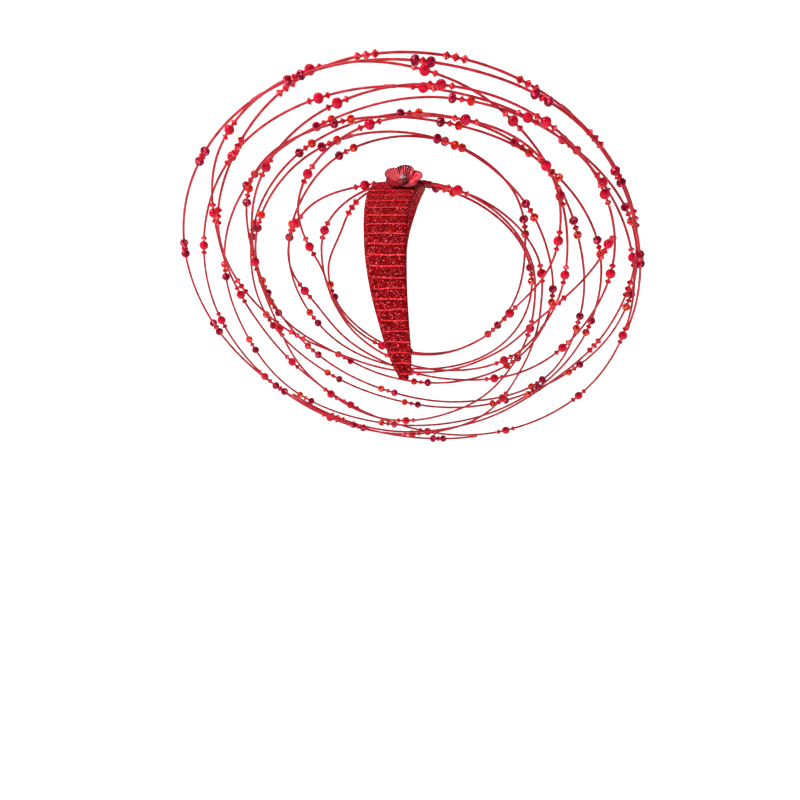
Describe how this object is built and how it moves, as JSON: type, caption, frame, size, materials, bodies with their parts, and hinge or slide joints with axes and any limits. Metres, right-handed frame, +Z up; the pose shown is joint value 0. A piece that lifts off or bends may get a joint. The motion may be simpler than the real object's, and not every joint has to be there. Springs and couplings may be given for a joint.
{
  "type": "halo fascinator",
  "caption": "Ribbon-wrapped arched headband with a fluted flower and a slanted halo of beaded wire turns, worn over the crown of the head",
  "frame": {"origin": "the underside of the headband at the middle of its crown, where it sits on the head", "axes": "+Z up, the wearer faces -Y, and the wearer's right is -X"},
  "size_m": [0.3492, 0.437, 0.3161],
  "materials": {
    "glitter_ribbon": "metallic red glitter ribbon wound edge to edge over a plastic core",
    "foil_petals": "fluted foil-backed acrylic, deep red",
    "glass_bead": "polished faceted red bead",
    "beaded_wire": "wire wound with matte red thread, strung with rose, garnet and orange-red beads"
  },
  "bodies": {
    "root": {"headband": "glitter_ribbon", "binding": "glitter_ribbon", "flower": "foil_petals", "flower_centre": "glass_bead", "rose_string_1": "beaded_wire", "rose_string_2": "beaded_wire", "rose_string_3": "beaded_wire", "rose_string_4": "beaded_wire", "rose_string_5": "beaded_wire", "rose_string_6": "beaded_wire", "mixed_string_1": "beaded_wire", "mixed_string_2": "beaded_wire", "mixed_string_3": "beaded_wire", "mixed_string_4": "beaded_wire", "inner_mixed_string_1": "beaded_wire", "inner_mixed_string_2": "beaded_wire", "seed_string_1": "beaded_wire", "seed_string_2": "beaded_wire", "rim_string": "beaded_wire"}
  },
  "joints": []
}
